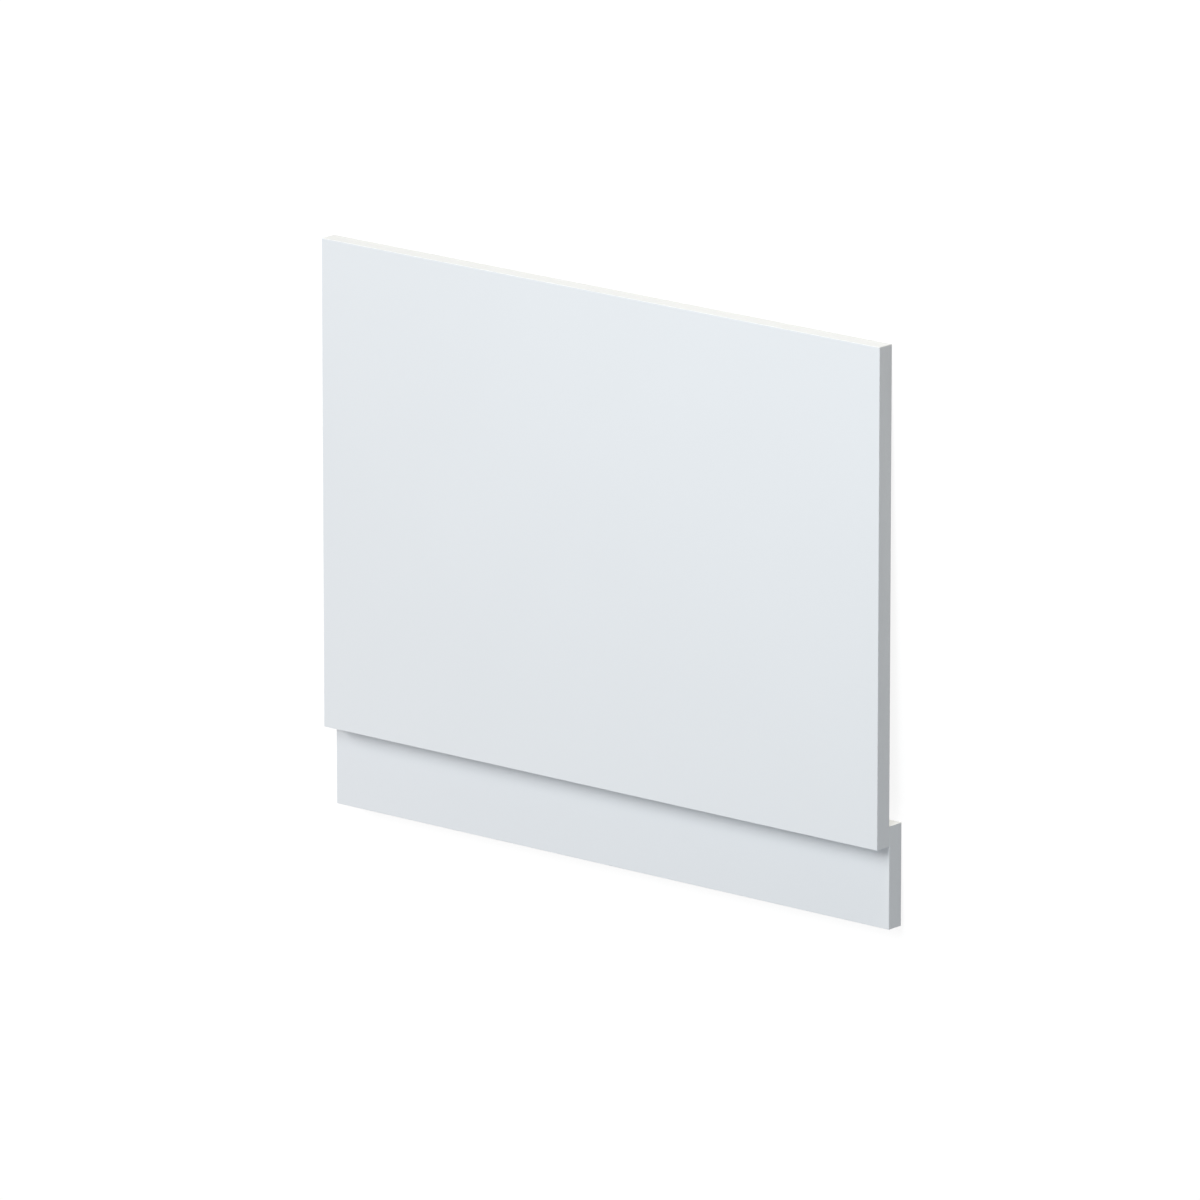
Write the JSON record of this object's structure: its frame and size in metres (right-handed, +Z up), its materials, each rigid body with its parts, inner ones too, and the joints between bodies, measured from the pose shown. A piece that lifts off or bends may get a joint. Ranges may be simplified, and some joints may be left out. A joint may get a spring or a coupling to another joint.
{
  "type": "bath end panel",
  "caption": "Flat white bath end panel lying face up, with a low set-back plinth board screwed behind its lower edge to close the gap down to the floor.",
  "frame": {"origin": "on the floor, below the middle of the box around the panel as it lies face up", "axes": "+X along the panel's width, +Y towards the panel's top edge along the floor, +Z up, out of the floor; the panel's face leans a little over two degrees from +Z towards +Y"},
  "size_m": [0.68, 0.561, 0.0367],
  "materials": {
    "white_board": "cool white satin foil on medium density fibreboard",
    "screw_steel": "bright zinc-plated steel, for the small screws on the back"
  },
  "bodies": {
    "root": {"front_panel": "white_board", "plinth": "white_board"}
  },
  "joints": []
}
